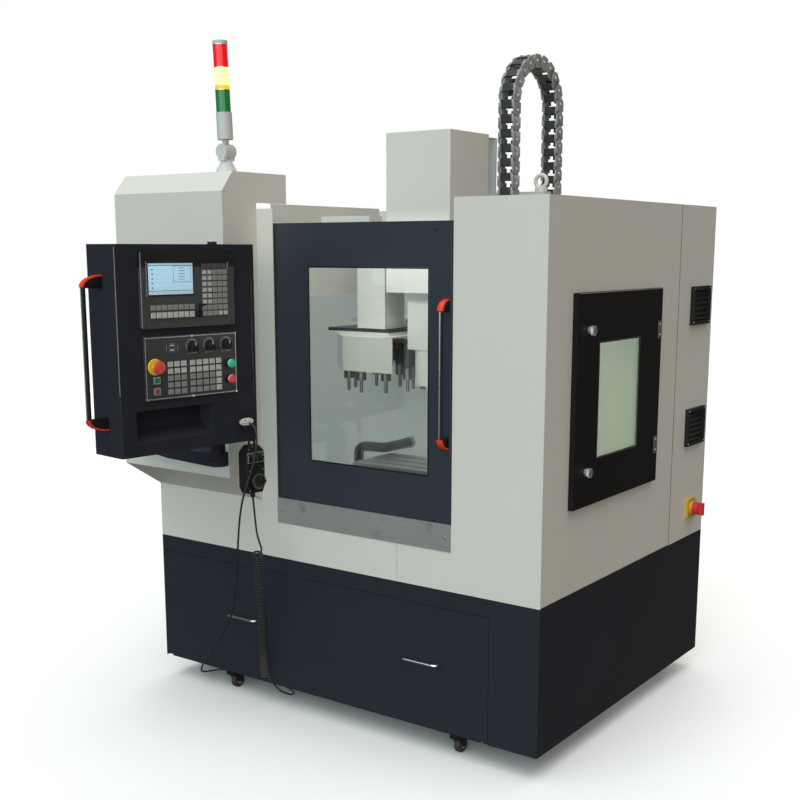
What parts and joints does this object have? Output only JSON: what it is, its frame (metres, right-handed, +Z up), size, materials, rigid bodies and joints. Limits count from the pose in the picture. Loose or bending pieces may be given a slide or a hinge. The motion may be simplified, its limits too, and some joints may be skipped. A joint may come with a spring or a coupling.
{
  "type": "cnc machining center",
  "caption": "Enclosed vertical machining center with a sliding front door, swivel control console, tool magazine, T-slot table and pull-out coolant tank.",
  "frame": {"origin": "on the floor under the middle of the footprint, cord apart", "axes": "+Z up, -Y to the operator's side with the sliding door, +X to the right as seen by the operator"},
  "size_m": [1.73, 2.0704, 2.3418],
  "materials": {
    "cream_paint": "satin powder coat",
    "charcoal_paint": "semi-gloss powder coat",
    "cast_paint": "painted casting",
    "stainless": "brushed",
    "steel": "ground",
    "chrome": "polished",
    "black_plastic": "fine texture",
    "grey_plastic": "fine texture",
    "panel_silver": "anodised film",
    "red_plastic": "gloss",
    "green_plastic": "gloss",
    "yellow_plastic": "gloss",
    "orange_plastic": "semi-gloss",
    "lens": "clear, lit amber",
    "glass": "clear",
    "rubber": "matte"
  },
  "bodies": {
    "machine_frame": {"base_skirt": "charcoal_paint", "levelling_feet": "steel", "base_casting": "cast_paint", "column": "cast_paint", "lifting_eyebolts": "steel", "chip_tray": "cream_paint", "splash_guard": "cream_paint", "right_panel": "cream_paint", "left_panel": "cream_paint", "apron_panel": "cream_paint", "sill_plate": "stainless", "magazine_bay": "cream_paint", "electrical_cabinet": "cream_paint", "cabinet_vents": "black_plastic", "main_switch_base": "yellow_plastic", "door_rail": "cream_paint", "console_bracket": "charcoal_paint", "stack_pedestal": "grey_plastic", "magazine_arm": "charcoal_paint", "drain_hose": "rubber"},
    "front_door": {"front_door": "charcoal_paint", "front_window": "glass", "door_handle": "orange_plastic"},
    "side_door": {"side_door": "charcoal_paint", "side_window": "glass"},
    "lock_upper": {"lock_upper": "chrome"},
    "lock_lower": {"lock_lower": "chrome"},
    "cabinet_door": {"cabinet_door": "cream_paint"},
    "main_switch": {"main_switch_knob": "red_plastic"},
    "console": {"console_box": "charcoal_paint", "controller": "black_plastic", "operation_panel": "panel_silver", "console_handle": "orange_plastic", "pendant_body": "black_plastic", "pendant_lead": "rubber", "pendant_curl": "rubber"},
    "knob_mode": {"knob_mode": "black_plastic"},
    "knob_feed": {"knob_feed": "black_plastic"},
    "knob_spindle": {"knob_spindle": "black_plastic"},
    "estop_button": {"estop_button": "red_plastic"},
    "start_button": {"start_button": "green_plastic"},
    "stop_button": {"stop_button": "red_plastic"},
    "pendant_dial": {"pendant_dial": "grey_plastic"},
    "stack_light": {"stack_head": "grey_plastic", "stack_lenses": "lens"},
    "saddle": {"saddle": "cast_paint"},
    "table": {"table": "steel"},
    "spindle_head": {"spindle_head": "cast_paint", "head_cover": "cream_paint", "z_drag_chain": "black_plastic"},
    "spindle": {"spindle": "steel"},
    "magazine": {"magazine_carriage": "cream_paint"},
    "tool_carousel": {"tool_carousel": "steel"},
    "coolant_tank": {"coolant_tank": "charcoal_paint", "tank_handles": "chrome"},
    "caster_left": {"caster_fork_left": "steel"},
    "caster_right": {"caster_fork_right": "steel"},
    "wheel_left": {"wheel_left": "rubber"},
    "wheel_right": {"wheel_right": "rubber"},
    "wheels_rear": {"wheels_rear": "rubber"}
  },
  "joints": [
    {"name": "front_door_slide", "type": "slide", "parent": "machine_frame", "child": "front_door", "axis": [-1, 0, 0], "range_m": [0, 0.55]},
    {"name": "side_door_hinge", "type": "hinge", "parent": "machine_frame", "child": "side_door", "pos_m": [0.814, 0.53718, 1.378], "axis": [0, 0, 1], "range_deg": [0, 115]},
    {"name": "lock_upper_turn", "type": "hinge", "parent": "side_door", "child": "lock_upper", "pos_m": [0.8245, -0.01982, 1.404], "axis": [1, 0, 0], "range_deg": [0, 90]},
    {"name": "lock_lower_turn", "type": "hinge", "parent": "side_door", "child": "lock_lower", "pos_m": [0.8245, -0.01982, 0.959], "axis": [1, 0, 0], "range_deg": [0, 90]},
    {"name": "cabinet_door_hinge", "type": "hinge", "parent": "machine_frame", "child": "cabinet_door", "pos_m": [-0.859, 1.01718, 1.605], "axis": [0, 0, 1], "range_deg": [0, 110]},
    {"name": "main_switch_turn", "type": "hinge", "parent": "machine_frame", "child": "main_switch", "pos_m": [0.8165, 0.90118, 0.678], "axis": [1, 0, 0], "range_deg": [0, 90]},
    {"name": "console_swivel", "type": "hinge", "parent": "machine_frame", "child": "console", "pos_m": [-0.2525, -0.55282, 1.028], "axis": [0, 0, 1], "range_deg": [-85, 12], "deforming": ["pendant_lead", "pendant_curl"]},
    {"name": "knob_mode_turn", "type": "hinge", "parent": "console", "child": "knob_mode", "pos_m": [-0.19854, -0.71349, 1.354], "axis": [0.991, -0.134, 0], "range_deg": [-135, 135]},
    {"name": "knob_feed_turn", "type": "hinge", "parent": "console", "child": "knob_feed", "pos_m": [-0.18963, -0.64759, 1.354], "axis": [0.991, -0.134, 0], "range_deg": [-135, 135]},
    {"name": "knob_spindle_turn", "type": "hinge", "parent": "console", "child": "knob_spindle", "pos_m": [-0.18072, -0.58169, 1.354], "axis": [0.991, -0.134, 0], "range_deg": [-135, 135]},
    {"name": "estop_press", "type": "slide", "parent": "console", "child": "estop_button", "axis": [-0.991, 0.134, 0], "range_m": [0, 0.006], "stiffness_N_per_m": 600},
    {"name": "start_press", "type": "slide", "parent": "console", "child": "start_button", "axis": [-0.991, 0.134, 0], "range_m": [0, 0.0025], "stiffness_N_per_m": 600},
    {"name": "stop_press", "type": "slide", "parent": "console", "child": "stop_button", "axis": [-0.991, 0.134, 0], "range_m": [0, 0.0025], "stiffness_N_per_m": 600},
    {"name": "pendant_dial_turn", "type": "hinge", "parent": "console", "child": "pendant_dial", "pos_m": [-0.15792, -0.47277, 0.892], "axis": [0.991, -0.134, 0], "continuous": true},
    {"name": "stack_light_fold", "type": "hinge", "parent": "machine_frame", "child": "stack_light", "pos_m": [-0.4405, -0.28182, 1.978], "axis": [0, 1, 0], "range_deg": [-85, 88]},
    {"name": "y_axis", "type": "slide", "parent": "machine_frame", "child": "saddle", "axis": [0, 1, 0], "range_m": [-0.1, 0.1]},
    {"name": "x_axis", "type": "slide", "parent": "saddle", "child": "table", "axis": [1, 0, 0], "range_m": [-0.06, 0.22]},
    {"name": "z_axis", "type": "slide", "parent": "machine_frame", "child": "spindle_head", "axis": [0, 0, 1], "range_m": [-0.15, 0.05], "deforming": ["z_drag_chain"]},
    {"name": "spindle_turn", "type": "hinge", "parent": "spindle_head", "child": "spindle", "pos_m": [0.1135, 0.16363, 1.172], "axis": [0, 0, 1], "continuous": true},
    {"name": "magazine_slide", "type": "slide", "parent": "machine_frame", "child": "magazine", "axis": [-1, 0, 0], "range_m": [0, 0.1]},
    {"name": "carousel_index", "type": "hinge", "parent": "magazine", "child": "tool_carousel", "pos_m": [-0.1105, 0.16363, 1.306], "axis": [0, 0, 1], "continuous": true},
    {"name": "tank_slide", "type": "slide", "parent": "machine_frame", "child": "coolant_tank", "axis": [0, -1, 0], "range_m": [0, 0.45], "deforming": ["pendant_lead", "pendant_curl"]},
    {"name": "caster_left_swivel", "type": "hinge", "parent": "coolant_tank", "child": "caster_left", "pos_m": [-0.5315, -0.21982, 0.027], "axis": [0, 0, 1], "continuous": true},
    {"name": "wheel_left_roll", "type": "hinge", "parent": "caster_left", "child": "wheel_left", "pos_m": [-0.5315, -0.19982, 0.027], "axis": [1, 0, 0], "continuous": true},
    {"name": "caster_right_swivel", "type": "hinge", "parent": "coolant_tank", "child": "caster_right", "pos_m": [0.4855, -0.21982, 0.027], "axis": [0, 0, 1], "continuous": true},
    {"name": "wheel_right_roll", "type": "hinge", "parent": "caster_right", "child": "wheel_right", "pos_m": [0.4855, -0.19982, 0.027], "axis": [1, 0, 0], "continuous": true},
    {"name": "wheels_rear_roll", "type": "hinge", "parent": "coolant_tank", "child": "wheels_rear", "pos_m": [-0.023, 0.04018, 0.027], "axis": [1, 0, 0], "continuous": true}
  ]
}
